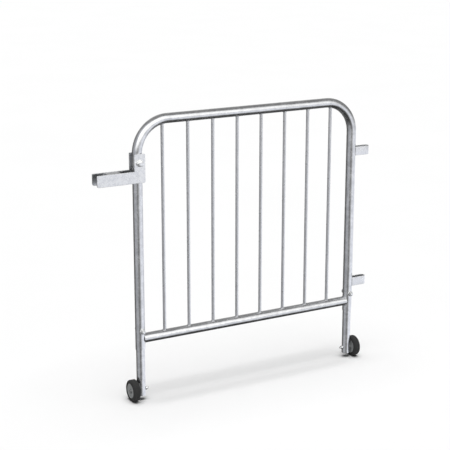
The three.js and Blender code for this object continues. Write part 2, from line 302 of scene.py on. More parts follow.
@dataclass(frozen=True)
class Galvanised(Finish):
    """Hot-dip zinc: cloudy, with runs along the piece and crystals that catch the light, and
    painted shade on the faces the mesh marks as inside.
    """

    grain: Grain = Grain.NONE
    dark: Colour = (0.62, 0.625, 0.635)
    light: Colour = (0.88, 0.885, 0.895)
    crystal: float = 9 * MM
    crystal_share: float = 0.2
    contrast: float = 1.0
    roughness: float = 0.22
    lumps: float = 0.16 * MM
    painted_shade: Colour | None = None  # painted shade: the dark colour that faces marked by the mesh's inside mask are blended to

    def surface(self, graph: Graph, place: Socket) -> dict[str, Any]:
        """Zinc crystals, clouds and runs, with painted shade where the mesh marks faces as inside.

        Args:
            graph: The graph to add to.
            place: Where each point lies.

        Returns:
            The shader's sockets.
        """
        if self.grain is Grain.ALONG_BEND:
            flow = graph.node("ShaderNodeAttribute", {"attribute_name": "flow"})
            place = flow.outputs["Vector"]
        drawn = graph.first(
            "ShaderNodeMapping", {}, {"Vector": place, "Scale": self.grain.value}
        )
        clouds = graph.noise(place, 26 * MM, 4)
        runs = graph.noise(drawn, 7 * MM, 3)
        cells = graph.node("ShaderNodeTexVoronoi", {}, {"Vector": place, "Scale": 1 / self.crystal})
        split = graph.first("ShaderNodeSeparateColor", {}, {0: cells.outputs["Color"]})
        facet = Value(graph, split)
        grit = graph.noise(place, 2.2 * MM, 1)
        mottle = (
            (clouds - 0.5) * 1.4
            + (runs - 0.5) * 1.0
            + (facet - 0.5) * self.crystal_share
            + (grit - 0.5) * 0.14
        )
        tone = (0.5 + mottle * self.contrast).ramp(0.0, 1.0)
        rough = (
            self.roughness
            + (facet - 0.5) * (0.3 * self.crystal_share)
            + (clouds - 0.5) * (0.18 * self.contrast)
        )
        height = runs * 0.6 + clouds * 0.9 + grit * 0.03 + facet * (0.1 * self.crystal_share)
        colour: Any = graph.blend(tone, self.dark, self.light)
        # Painted shade: marked inner faces are blended towards the darker painted_shade colour.
        if self.painted_shade:
            inside = graph.node("ShaderNodeAttribute", {"attribute_name": "inside"})
            colour = graph.blend(graph.value(inside, "Fac"), colour, self.painted_shade)
        return {
            "Base Color": colour,
            "Metallic": 1.0,
            "Roughness": rough,
            "Normal": self.bump(graph, height, self.lumps),
        }


@dataclass(frozen=True)
class ZincPlated(Finish):
    """Bright electro-plated fasteners with fine turning marks and a little dulling."""

    def surface(self, graph: Graph, place: Socket) -> dict[str, Any]:
        """Bright metal with dull patches.

        Args:
            graph: The graph to add to.
            place: Where each point lies.

        Returns:
            The shader's sockets.
        """
        dull = graph.noise(place, 5 * MM, 4)
        fine = graph.noise(place, 0.5 * MM, 2)
        tone = (dull * 0.8 + fine * 0.3).ramp(0.25, 0.8)
        return {
            "Base Color": graph.blend(tone, (0.97, 0.97, 0.95), (0.78, 0.79, 0.8)),
            "Metallic": 1.0,
            "Roughness": 0.16 + dull * 0.16,
            "Normal": self.bump(graph, fine, 0.02 * MM),
        }


@dataclass(frozen=True)
class TyreRubber(Finish):
    """Solid black rubber, scuffed grey on the tread."""

    def surface(self, graph: Graph, place: Socket) -> dict[str, Any]:
        """Matt black with dust and pores.

        Args:
            graph: The graph to add to.
            place: Where each point lies.

        Returns:
            The shader's sockets.
        """
        dust = graph.noise(place, 12 * MM, 5)
        pores = graph.noise(place, 0.9 * MM, 3)
        tone = (dust * 0.7 + pores * 0.5).ramp(0.3, 0.85)
        return {
            "Base Color": graph.blend(tone, (0.012, 0.0125, 0.012), (0.1, 0.101, 0.098)),
            "Roughness": 0.42 + dust * 0.25,
            "Normal": self.bump(graph, pores * 0.6 + dust * 0.4, 0.16 * MM),
        }


@dataclass(frozen=True)
class HubPlastic(Finish):
    """Moulded grey plastic with a faint grain."""

    def surface(self, graph: Graph, place: Socket) -> dict[str, Any]:
        """Grey with slight handling marks.

        Args:
            graph: The graph to add to.
            place: Where each point lies.

        Returns:
            The shader's sockets.
        """
        marks = graph.noise(place, 9 * MM, 4)
        grain = graph.noise(place, 0.7 * MM, 2)
        tone = (marks * 0.8 + grain * 0.25).ramp(0.2, 0.85)
        return {
            "Base Color": graph.blend(tone, (0.62, 0.625, 0.625), (0.8, 0.805, 0.805)),
            "Roughness": 0.4 + marks * 0.2,
            "Normal": self.bump(graph, grain, 0.03 * MM),
        }


@dataclass(frozen=True)
class BushNylon(Finish):
    """Natural nylon, greasy in places."""

    def surface(self, graph: Graph, place: Socket) -> dict[str, Any]:
        """Cream with darker grease.

        Args:
            graph: The graph to add to.
            place: Where each point lies.

        Returns:
            The shader's sockets.
        """
        grease = graph.noise(place, 4 * MM, 4)
        return {
            "Base Color": graph.blend(grease.ramp(0.4, 0.8), (0.72, 0.7, 0.63), (0.3, 0.28, 0.22)),
            "Roughness": 0.5 - grease * 0.2,
            "Normal": self.bump(graph, grease, 0.03 * MM),
        }


@dataclass(frozen=True)
class StudioFloor(Finish):
    """Plain pale floor, hardly mottled."""

    def surface(self, graph: Graph, place: Socket) -> dict[str, Any]:
        """Near-white, dead matt.

        Args:
            graph: The graph to add to.
            place: Where each point lies.

        Returns:
            The shader's sockets.
        """
        tone = graph.noise(place, 0.8, 2)
        return {
            "Base Color": graph.blend(tone, (0.86, 0.86, 0.86), (0.88, 0.88, 0.88)),
            "Roughness": 0.95,
            "Specular IOR Level": 0.0,
        }


POST_ZINC = Galvanised("zinc_upright_tube", Grain.UPRIGHT)
HOOP_ZINC = Galvanised("zinc_bent_tube", Grain.ALONG_BEND)
# The rail's bore gets painted shade, near-black, where its inside mask marks it.
RAIL_ZINC = Galvanised("zinc_level_tube", Grain.LEVEL, painted_shade=(0.12, 0.12, 0.125))
BAR_ZINC = Galvanised("zinc_bar", Grain.UPRIGHT, contrast=0.3, roughness=0.3, lumps=0.006 * MM)
# Flat bar gets painted shade, mid-grey, on the faces inside the strap loops and between the fork
# plates.
PLATE_ZINC = Galvanised(
    "zinc_flat_bar",
    Grain.NONE,
    dark=(0.76, 0.765, 0.775),
    light=(0.95, 0.955, 0.965),
    crystal=8 * MM,
    crystal_share=0.6,
    roughness=0.34,
    lumps=0.1 * MM,
    painted_shade=(0.55, 0.56, 0.57),
)
WELD_ZINC = Galvanised("zinc_weld", Grain.NONE, crystal=4 * MM, roughness=0.34, lumps=0.2 * MM)
BRIGHT = ZincPlated("zinc_plated_bolts")
RUBBER = TyreRubber("tyre_rubber")
HUB = HubPlastic("hub_plastic")
NYLON = BushNylon("bush_nylon")
FLOOR = StudioFloor("studio_floor")


# ---------------------------------------------------------------- meshes


def circle(radius: float, sides: int) -> list[Point2]:
    """Points of a circle round the origin, the first on the first axis."""
    turns = [TAU * k / sides for k in range(sides)]
    return [(radius * math.cos(a), radius * math.sin(a)) for a in turns]


def arc(centre: Point2, radius: float, start: float, end: float, steps: int) -> list[Point2]:
    """Points of an arc, both ends included, with its angles in degrees."""
    angles = [math.radians(start + (end - start) * k / steps) for k in range(steps + 1)]
    return [(centre[0] + radius * math.cos(a), centre[1] + radius * math.sin(a)) for a in angles]


def grown(outline: Sequence[Point2], inset: float) -> list[Point2]:
    """An outline moved towards its left-hand side by inset, with its corners mitred.

    Args:
        outline: Its corners, in order.
        inset: How far it moves.

    Returns:
        The corners of the new outline.
    """
    moved = []
    for i, (x, y) in enumerate(outline):
        before, after = outline[i - 1], outline[(i + 1) % len(outline)]
        first = Vector((x - before[0], y - before[1])).normalized()
        second = Vector((after[0] - x, after[1] - y)).normalized()
        left, right = Vector((-first.y, first.x)), Vector((-second.y, second.x))
        shift = (left + right) * (inset / (1 + left.dot(right)))
        moved.append((x + shift.x, y + shift.y))
    return moved


@dataclass
class Draft:
    """Corners and faces of a mesh being drawn up."""

    corners: list[Vector] = field(default_factory=list)
    faces: list[tuple[int, ...]] = field(default_factory=list)

    def ring(self, points: Iterable[Sequence[float]]) -> list[int]:
        """Adds corners and returns their numbers."""
        start = len(self.corners)
        self.corners.extend(Vector(p) for p in points)
        return list(range(start, len(self.corners)))

    def loft(
        self, rings: Sequence[Iterable[Sequence[float]]], wrap: bool = False
    ) -> list[list[int]]:
        """Joins closed rings of the same count with quads.

        Args:
            rings: The rings, in order.
            wrap: Whether the last one joins the first.

        Returns:
            The corners of each ring.
        """
        made = [self.ring(points) for points in rings]
        pairs = list(zip(made, made[1:] + made[:1] if wrap else made[1:]))
        for low, high in pairs:
            for k in range(len(low)):
                n = (k + 1) % len(low)
                self.faces.append((low[k], low[n], high[n], high[k]))
        return made

    def solid(self, rings: Sequence[Iterable[Sequence[float]]]) -> None:
        """A loft with both ends closed."""
        made = self.loft(rings)
        self.faces.append(tuple(reversed(made[0])))
        self.faces.append(tuple(made[-1]))

    def moved(self, place: Matrix) -> Draft:
        """The same draft somewhere else."""
        return Draft([place @ c for c in self.corners], list(self.faces))

    def add(self, other: Draft) -> None:
        """Takes in another draft."""
        start = len(self.corners)
        self.corners.extend(other.corners)
        self.faces.extend(tuple(start + i for i in f) for f in other.faces)

    def piece(
        self,
        name: str,
        finish: Finish,
        sharp: float = SHARP_DEGREES,
        inside: Test | None = None,
    ) -> bpy.types.Object:
        """The finished object, at the origin, with its place in its mesh.

        Args:
            name: Its name.
            finish: Its finish.
            sharp: The angle from which an edge is shaded sharp, in degrees.
            inside: Tells which corners get painted shade, stored on the mesh as the inside mask.

        Returns:
            The object, in the scene.
        """
        mesh = bpy.data.meshes.new(name)
        mesh.from_pydata([tuple(c) for c in self.corners], [], self.faces)
        mesh.materials.append(finish.material())
        made = bpy.data.objects.new(name, mesh)
        bpy.context.scene.collection.objects.link(made)
        tidy(made, sharp=sharp)
        # The inside mask marks where the finish paints shade.
        if inside:
            mask = mesh.attributes.new("inside", "FLOAT", "POINT")
            mask.data.foreach_set("value", [float(inside(v.co)) for v in mesh.vertices])
        return made


def tidy(made: bpy.types.Object, turn_out: bool = True, sharp: float = SHARP_DEGREES) -> None:
    """Merges doubles, turns faces out and shades smooth between sharp edges.

    Args:
        made: The object.
        turn_out: Whether its faces are turned out.
        sharp: The angle from which an edge stays sharp, in degrees.
    """
    shape = bmesh.new()
    shape.from_mesh(made.data)
    bmesh.ops.remove_doubles(shape, verts=shape.verts, dist=1e-6)
    if turn_out:
        bmesh.ops.recalc_face_normals(shape, faces=shape.faces)
    shape.to_mesh(made.data)
    shape.free()
    made.data.polygons.foreach_set("use_smooth", [True] * len(made.data.polygons))
    made.data.set_sharp_from_angle(angle=math.radians(sharp))
    made.data.update()


def plain(source: bpy.types.Object, name: str) -> bpy.types.Object:
    """The evaluated mesh of an object as a plain one of its own.

    Args:
        source: An object with modifiers; it is removed.
        name: The name of the new object.

    Returns:
        The new object, with no modifiers.
    """
    bpy.context.view_layer.update()
    graph = bpy.context.evaluated_depsgraph_get()
    mesh = bpy.data.meshes.new_from_object(
        source.evaluated_get(graph), preserve_all_data_layers=True, depsgraph=graph
    )
    bpy.data.objects.remove(source)
    mesh.name = name
    made = bpy.data.objects.new(name, mesh)
    bpy.context.scene.collection.objects.link(made)
    return made


def turned(profile: Sequence[Point2], sides: int = RING_SIDES) -> Draft:
    """A closed ring turned round the third axis from pairs of radius and height.

    Args:
        profile: The pairs, once round its section.
        sides: How many faces go round.

    Returns:
        The draft.
    """
    draft = Draft()
    spokes = circle(1.0, sides)
    draft.loft([[(r * x, r * y, h) for x, y in spokes] for r, h in profile], wrap=True)
    return draft


def rod(radius: float, low: float, high: float, chamfer: float, sides: int = ROD_SIDES) -> Draft:
    """A round bar along the third axis with both ends chamfered.

    Args:
        radius: Its radius.
        low: Where it starts.
        high: Where it ends.
        chamfer: Size of the chamfers.
        sides: How many faces go round.

    Returns:
        The draft.
    """
    draft = Draft()
    small = radius - chamfer
    steps = [(small, low), (radius, low + chamfer), (radius, high - chamfer), (small, high)]
    draft.solid([[(x, y, h) for x, y in circle(r, sides)] for r, h in steps])
    return draft


def washer(radius: float, bore: float, low: float, high: float) -> Draft:
    """A flat ring with its outer edges rolled, as a stamped washer has.

    Args:
        radius: Its outer radius.
        bore: Its inner radius.
        low: Where it starts.
        high: Where it ends.

    Returns:
        The draft.
    """
    roll = 0.3 * (high - low)
    nip = 0.3 * roll
    half = [(bore, low), (radius - roll, low), (radius - nip, low + nip), (radius, low + roll)]
    return turned([*half, *[(r, low + high - h) for r, h in reversed(half)]], ROD_SIDES + 8)


@dataclass(frozen=True)
class Hexagon:
    """A hexagon head or nut along the third axis, with turned corners."""

    flats: float
    bore: float = 0.0
    both_ends: bool = False
    face: float = 0.475  # radius of its flat ends, as a share of the flats
    lead: float = 0.06  # chamfer of its bore, likewise
    slope: float = 28  # of its turned corners, in degrees

    def _corner(self, turn: float) -> float:
        """How far the side is from the axis at an angle; a corner is at angle 0."""
        return self.flats / 2 / math.cos(turn % (TAU / 6) - TAU / 12)

    def draft(self, low: float, high: float) -> Draft:
        """The block between two heights.

        Args:
            low: The height of its bearing face.
            high: The height of its free end, whose corners are turned off.

        Returns:
            The draft.
        """
        flat = self.face * self.flats
        slope = math.tan(math.radians(self.slope)) * math.copysign(1, high - low)
        turns = [TAU * k / HEX_SIDES for k in range(HEX_SIDES)]

        def level(height: float, radius: float | None, cut: float = 0.0) -> list[Point3]:
            """One ring: round when it has a radius, else the hexagon cut back by a cone.

            Args:
                height: Its height.
                radius: Its radius, if it is round.
                cut: The cone's slope.

            Returns:
                Its corners.
            """
            reach = [radius or self._corner(t) for t in turns]
            return [
                (r * math.cos(t), r * math.sin(t), height - cut * (r - flat))
                for r, t in zip(reach, turns, strict=True)
            ]

        under = -slope if self.both_ends else 0.0
        rings = [level(low, flat), level(low, None, under), level(high, None, slope)]
        rings.append(level(high, flat))
        draft = Draft()
        if not self.bore:
            draft.solid(rings)
            return draft
        lead = self.lead * self.flats
        sink = math.copysign(lead, high - low)
        rings = [
            level(low + sink, self.bore),
            level(low, self.bore + lead),
            *rings,
            level(high, self.bore + lead),
            level(high - sink, self.bore),
        ]
        draft.loft(rings, wrap=True)
        return draft


def flat_plate(
    outline: Sequence[Point2],
    holes: Sequence[Sequence[Point2]],
    low: float,
    high: float,
    edge: float,
) -> Draft:
    """A plate with rounded edges, drawn on the first two axes and as thick as the third says.

    Args:
        outline: The outside, counter-clockwise.
        holes: The holes, clockwise.
        low: Height of one face.
        high: Height of the other.
        edge: Radius of the edges.

    Returns:
        The draft.
    """
    draft = Draft()
    levels = [(low, edge), (low + 0.3 * edge, 0.3 * edge), (low + edge, 0.0)]
    levels += [(high - edge, 0.0), (high - 0.3 * edge, 0.3 * edge), (high, edge)]
    ends: list[list[list[int]]] = [[], []]
    for loop in (outline, *holes):
        made = draft.loft([[(x, y, h) for x, y in grown(loop, inset)] for h, inset in levels])
        ends[0].append(made[0])
        ends[1].append(made[-1])
    for loops in ends:
        numbers = [n for loop in loops for n in loop]
        rows = [[draft.corners[n] for n in loop] for loop in loops]
        draft.faces.extend(tuple(numbers[i] for i in face) for face in tessellate_polygon(rows))
    return draft


def axis_place(origin: Sequence[float], direction: Sequence[float]) -> Matrix:
    """A place whose third axis runs along a direction of the frame."""
    turn = Vector((0, 0, 1)).rotation_difference(Vector(direction))
    return Matrix.Translation(Vector(origin)) @ turn.to_matrix().to_4x4()


# ---------------------------------------------------------------- geometry nodes


class Maker(Graph):
    """A geometry node tree with named sizes, which ends in plain geometry with its finish."""

    KINDS = {float: "NodeSocketFloat", int: "NodeSocketInt", tuple: "NodeSocketVector"}

    def __init__(self, name: str, sizes: Mapping[str, Any]) -> None:
        """Args:
            name: The tree's name.
            sizes: Its sizes, by label.
        """
        tree = bpy.data.node_groups.new(name, "GeometryNodeTree")
        super().__init__(tree)
        face = tree.interface
        face.new_socket("Geometry", in_out="INPUT", socket_type="NodeSocketGeometry")
        face.new_socket("Geometry", in_out="OUTPUT", socket_type="NodeSocketGeometry")
        for label, value in sizes.items():
            socket = face.new_socket(label, in_out="INPUT", socket_type=self.KINDS[type(value)])
            socket.default_value = value
        face.new_socket("Finish", in_out="INPUT", socket_type="NodeSocketMaterial")
        self.given = self.node("NodeGroupInput")

    def size(self, label: str) -> Value:
        """One of the named inputs."""
        return Value(self, self.given.outputs[label])

    def line(self) -> Socket:
        """The runs of points that the tree is given, as curves."""
        points = {"Mesh": self.given.outputs["Geometry"]}
        return self.first("GeometryNodeMeshToCurve", {}, points)

    def ring(self, sides: Value | int, radius: Value) -> Socket:
        """A circle to sweep along a curve."""
        sizes = {"Resolution": sides, "Radius": radius}
        return self.first("GeometryNodeCurvePrimitiveCircle", {"mode": "RADIUS"}, sizes)

    def marked(
        self, geometry: Socket, name: str, kind: str, value: Socket
    ) -> Socket:
        """Geometry with a named value of a kind stored on its points."""
        settings = {"data_type": kind, "domain": "POINT"}
        inputs = {"Geometry": geometry, "Name": name, "Value": value}
        return self.first("GeometryNodeStoreNamedAttribute", settings, inputs)

    def mark(self, name: str, kind: str) -> Socket:
        """What marked() stored under a name."""
        node = self.node("GeometryNodeInputNamedAttribute", {"data_type": kind}, {"Name": name})
        return node.outputs["Attribute"]

    def end(self, geometry: Socket) -> None:
        """Closes the tree.

        Args:
            geometry: What the tree has made.
        """
        real = self.first("GeometryNodeRealizeInstances", {}, {"Geometry": geometry})
        finish = {"Geometry": real, "Material": self.given.outputs["Finish"]}
        dressed = self.first("GeometryNodeSetMaterial", {}, finish)
        self.node("NodeGroupOutput", {}, {"Geometry": dressed})

    def run(
        self, name: str, finish: Finish, values: Mapping[str, Any], lines: Sequence[Line] = ()
    ) -> bpy.types.Object:
        """Makes one plain piece.

        Args:
            name: The piece's name.
            finish: Its finish.
            values: Values of the named inputs.
            lines: What the tree follows.

        Returns:
            The piece.
        """
        mesh = bpy.data.meshes.new(name + "_lines")
        corners: list[Vector] = []
        edges: list[tuple[int, int]] = []
        for points, closed in lines:
            start = len(corners)
            corners.extend(points)
            edges.extend((start + k, start + k + 1) for k in range(len(points) - 1))
            if closed:
                edges.append((len(corners) - 1, start))
        mesh.from_pydata([tuple(c) for c in corners], edges, [])
        holder = bpy.data.objects.new(name + "_lines", mesh)
        bpy.context.scene.collection.objects.link(holder)
        modifier = holder.modifiers.new("make", "NODES")
        modifier.node_group = self.tree
        given = {**values, "Finish": finish.material()}
        for item in self.tree.interface.items_tree:
            if item.in_out == "INPUT" and item.name in given:
                modifier[item.identifier] = given[item.name]
        return plain(holder, name)


def bent_tube_maker() -> Maker:
    """A tube's outer skin along straight lines, with its corners bent to a radius.

    Returns:
        The tree.
    """
    sizes = {"Tube Radius": 0.02, "Bend Radius": 0.1, "Bend Steps": 24, "Sides": 32}
    tree = Maker("bent_tube", sizes)
    bends = {
        "Curve": tree.line(),
        "Count": tree.size("Bend Steps"),
        "Radius": tree.size("Bend Radius"),
        "Limit Radius": False,
    }
    bent = tree.first("GeometryNodeFilletCurve", {"mode": "POLY"}, bends)
    length = tree.node("GeometryNodeSplineParameter").outputs["Length"]
    ring = tree.ring(tree.size("Sides"), tree.size("Tube Radius"))
    spot = tree.first("GeometryNodeInputPosition")
    paths = {
        "Curve": tree.marked(bent, "along", "FLOAT", length),
        "Profile Curve": tree.marked(ring, "flow", "FLOAT_VECTOR", spot),
    }
    skin = tree.first("GeometryNodeCurveToMesh", {}, paths)
    around = tree.node("ShaderNodeSeparateXYZ", {}, {0: tree.mark("flow", "FLOAT_VECTOR")})
    parts = {0: around.outputs[0], 1: around.outputs[1], 2: tree.mark("along", "FLOAT")}
    flow = tree.first("ShaderNodeCombineXYZ", {}, parts)
    tree.end(tree.marked(skin, "flow", "FLOAT_VECTOR", flow))
    return tree


def bar_row_maker() -> Maker:
    """Upright round bars at an even pitch.

    Returns:
        The tree.
    """
    sizes = {"Count": 8, "Pitch": 0.12, "Bar Radius": 0.007, "Bar Length": 0.9, "Sides": 32}
    tree = Maker("bar_row", {**sizes, "Middle of First": (0.0, 0.0, 0.0)})
    row = {
        "Count": tree.size("Count"),
        "Start Location": tree.size("Middle of First"),
        "Offset": tree.first("ShaderNodeCombineXYZ", {}, {0: tree.size("Pitch")}),
    }
    bar = {
        "Vertices": tree.size("Sides"),
        "Radius": tree.size("Bar Radius"),
        "Depth": tree.size("Bar Length"),
    }
    bars = {
        "Points": tree.first("GeometryNodeMeshLine", {"mode": "OFFSET"}, row),
        "Instance": tree.first("GeometryNodeMeshCylinder", {}, bar),
    }
    tree.end(tree.first("GeometryNodeInstanceOnPoints", {}, bars))
    return tree


def weld_bead_maker() -> Maker:
    """A weld bead along each line, rippled as the weaving torch leaves it.

    Returns:
        The tree.
    """
    tree = Maker("weld_bead", {"Bead Radius": 0.002, "Ripple": 0.12, "Ripple Pitch": 0.0035})
    pitch = tree.size("Ripple Pitch")
    steps = {"Curve": tree.line(), "Length": pitch / 4.0}
    length = tree.value(tree.node("GeometryNodeSplineParameter"), "Length")
    wave = tree.math("SINE", length * TAU / pitch)
    wander = tree.noise(tree.first("GeometryNodeInputPosition"), 12 * MM, 2)
    bead = {
        "Curve": tree.first("GeometryNodeResampleCurve", {"mode": "LENGTH"}, steps),
        "Profile Curve": tree.ring(12, tree.size("Bead Radius")),
        "Scale": 1.0 + wave * tree.size("Ripple") + (wander - 0.5) * 0.9,
        "Fill Caps": True,
    }
    tree.end(tree.first("GeometryNodeCurveToMesh", {}, bead))
    return tree


def screw_thread_maker() -> Maker:
    """The ridge of a screw thread round the third axis, from height 0 upwards.

    Returns:
        The tree.
    """
    sizes = {"Core Radius": 0.005, "Thread Pitch": 0.001, "Turns": 5.0, "Ridge": 0.0005}
    tree = Maker("screw_thread", sizes)
    spiral = {
        "Resolution": 28,
        "Rotations": tree.size("Turns"),
        "Start Radius": tree.size("Core Radius"),
        "End Radius": tree.size("Core Radius"),
        "Height": tree.size("Turns") * tree.size("Thread Pitch"),
    }
    ridge = {
        "Curve": tree.first("GeometryNodeCurveSpiral", {}, spiral),
        "Profile Curve": tree.ring(4, tree.size("Ridge")),
        "Fill Caps": True,
    }
    tree.end(tree.first("GeometryNodeCurveToMesh", {}, ridge))
    return tree


# ---------------------------------------------------------------- where things stand


def middle(node: str) -> Vector:
    """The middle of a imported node's box."""
    low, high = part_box(node)
    return (low + high) / 2


@dataclass(frozen=True)
class Layout:
    """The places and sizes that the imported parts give, in metres."""

    post_x: Mapping[Side, float]
    tube: float
    bar: float
    post_end: float
    top_z: float
    rail_z: float
    rail_inset: float
    axle_z: float
    leg: float
    leg_low: float
    leg_high: float
    bar_x: tuple[float, ...]

    @classmethod
    def read(cls) -> Layout:
        """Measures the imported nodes.

        Returns:
            The layout.
        """
        hoop_low, hoop_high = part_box("frame_hoop")
        leg_low, leg_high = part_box("leg_left")
        tube = (hoop_high.y - hoop_low.y) / 2
        boxes = [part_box(f"bar_{n + 1}") for n in range(BARS)]
        return cls(
            post_x={Side.LEFT: hoop_low.x + tube, Side.RIGHT: hoop_high.x - tube},
            tube=tube,
            bar=(boxes[0][1].x - boxes[0][0].x) / 2,
            post_end=hoop_low.z,
            top_z=hoop_high.z - tube,
            rail_z=middle("lower_rail").z,
            rail_inset=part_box("lower_rail")[0].x - hoop_low.x - tube,
            axle_z=middle("tyre_left").z,
            leg=(leg_high.x - leg_low.x) / 2,
            leg_low=leg_low.z,
            leg_high=leg_high.z,
            bar_x=tuple((low.x + high.x) / 2 for low, high in boxes),
        )


def fit(piece: bpy.types.Object, body: str, slot: str, *nodes: str) -> None:
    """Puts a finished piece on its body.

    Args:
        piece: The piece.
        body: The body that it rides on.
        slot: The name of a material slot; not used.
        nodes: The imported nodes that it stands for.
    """
    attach(piece, body)
    if nodes:
        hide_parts(*nodes)
    LOG.info("%s: %d faces on %s", piece.name, len(piece.data.polygons), body)


def upright(spot: Point2, low: float, high: float) -> Line:
    """An upright line between two heights."""
    return [Vector((*spot, low)), Vector((*spot, high))], False


@dataclass(frozen=True)
class Weld:
    """A weld bead's radius, the pitch of its ripples and their share of the radius."""

    radius: float
    pitch: float
    ripple: float = 0.05

    def run(self, name: str, body: str, slot: str, lines: Sequence[Line]) -> None:
        """Lays beads along lines, as one piece on a body.

        Args:
            name: The piece's name.
            body: The body that it rides on.
            slot: A material slot's name, handed on to fit().
            lines: Where the beads lie.
        """
        sizes = {"Bead Radius": self.radius, "Ripple": self.ripple, "Ripple Pitch": self.pitch}
        beads = weld_bead_maker().run(name, WELD_ZINC, sizes, lines)
        tidy(beads, sharp=WELD_SHARP)
        fit(beads, body, slot)


# ---------------------------------------------------------------- sub-assemblies


@dataclass
class TubeFrame:
    """The bent hoop, the lower rail, the bars and the welds between them."""

    layout: Layout
    wall: float = 1.9 * MM
    bend_radius: float = 140 * MM
    bead: float = 2.1 * MM
    bar_sink: float = 1.3 * MM

    def build(self) -> None:
        """Builds and fits every piece of the frame."""
        self._hoop()
        self._lower_rail()
        self._bars()
        ends = [(self._bar_end(x, top), True) for x in self.layout.bar_x for top in (False, True)]
        Weld(0.8 * self.bead, 2.8 * MM, 0.06).run("bar_welds", "frame", "galvanised_tube", ends)
        Weld(self.bead, 3.6 * MM).run("rail_welds", "frame", "galvanised_tube", self._rail_ends())

    def _hoop(self) -> None:
        """One tube bent twice, open at the feet of both posts."""
        here = self.layout
        left, right = here.post_x[Side.LEFT], here.post_x[Side.RIGHT]
        foot, top = here.post_end, here.top_z
        path = [(left, 0, foot), (left, 0, top), (right, 0, top), (right, 0, foot)]
        values = {
            "Tube Radius": here.tube,
            "Bend Radius": self.bend_radius,
            "Bend Steps": 40,
            "Sides": TUBE_SIDES,
        }
        lines = [([Vector(corner) for corner in path], False)]
        skin = bent_tube_maker().run("hoop_skin", HOOP_ZINC, values, lines)
        tidy(skin)
        wall = skin.modifiers.new("wall", "SOLIDIFY")
        wall.thickness = self.wall
        wall.offset = -1
        wall.use_even_offset = True
        hoop = plain(skin, "hoop_tube")
        tidy(hoop, turn_out=False)
        fit(hoop, "frame", "galvanised_tube", "frame_hoop")

    def _lower_rail(self) -> None:
        """A tube whose ends are cut square and let a little round the posts."""
        here = self.layout
        reach = here.tube - EMBED

        def ring(radius: float, side: Side) -> list[Point3]:
            """One end of the outer or the inner skin, cut square but for the post's bite.

            Args:
                radius: The skin's radius.
                side: The end.

            Returns:
                Its corners.
            """
            points = []
            for y, z in circle(radius, 2 * TUBE_SIDES):
                bite = max(math.sqrt(max(reach * reach - y * y, 0.0)), here.rail_inset)
                points.append((here.post_x[side] - side.value * bite, y, here.rail_z + z))
            return points

        def inside(corner: Vector) -> bool:
            """Whether a corner lies in the bore, where the finish paints shade."""
            return math.hypot(corner.y, corner.z - here.rail_z) < bore + SLACK

        bore = here.tube - self.wall
        ends = [(here.tube, Side.LEFT), (here.tube, Side.RIGHT), (bore, Side.RIGHT)]
        draft = Draft()
        draft.loft([ring(*end) for end in (*ends, (bore, Side.LEFT))], wrap=True)
        rail = draft.piece("lower_rail_tube", RAIL_ZINC, inside=inside)
        fit(rail, "frame", "galvanised_tube", "lower_rail")

    def _bars(self) -> None:
        """The row of upright bars, let a little into both rails."""
        here = self.layout
        low = here.rail_z + here.tube - self.bar_sink
        high = here.top_z - here.tube + self.bar_sink
        values = {
            "Count": len(here.bar_x),
            "Pitch": here.bar_x[1] - here.bar_x[0],
            "Bar Radius": here.bar,
            "Bar Length": high - low,
            "Middle of First": (here.bar_x[0], 0.0, (low + high) / 2),
            "Sides": ROD_SIDES,
        }
        bars = bar_row_maker().run("upright_bars", BAR_ZINC, values)
        tidy(bars)
        names = [f"bar_{n + 1}" for n in range(len(here.bar_x))]
        fit(bars, "frame", "galvanised_tube", *names)

    def _bar_end(self, x0: float, top: bool) -> list[Vector]:
        """The line where a bar meets the lower rail or the hoop.

        Args:
            x0: Where the bar stands.
            top: Whether it is the bar's upper end.

        Returns:
            Its points.
        """
        here = self.layout
        centre = (here.post_x[Side.LEFT] + here.post_x[Side.RIGHT]) / 2
        straight = here.post_x[Side.RIGHT] - self.bend_radius - centre
        line = []
        for dx, y in circle(here.bar + 0.4 * self.bead, 36):
            drop = math.sqrt(here.tube**2 - y * y)
            x = x0 + dx
            if not top:
                line.append(Vector((x, y, here.rail_z + drop)))
                continue
            past = max(abs(x - centre) - straight, 0.0)
            rise = math.sqrt((self.bend_radius - drop) ** 2 - past**2)
            line.append(Vector((x, y, here.top_z - self.bend_radius + rise)))
        return line

    def _rail_ends(self) -> list[Line]:
        """The lines above and below, where the lower rail touches the posts.

        Returns:
            The lines.
        """
        here = self.layout
        reach = math.sqrt(here.tube**2 - here.rail_inset**2) - 0.5 * self.bead
        lines = []
        for side, up in ((side, up) for side in Side for up in (1, -1)):
            line = []
            for k in range(25):
                y = reach * (k / 12 - 1)
                off = math.sqrt(here.tube**2 - y * y) + 0.3 * self.bead
                x = here.post_x[side] - side.value * off
                line.append(Vector((x, y, here.rail_z + up * off)))
            lines.append((line, False))
        return lines


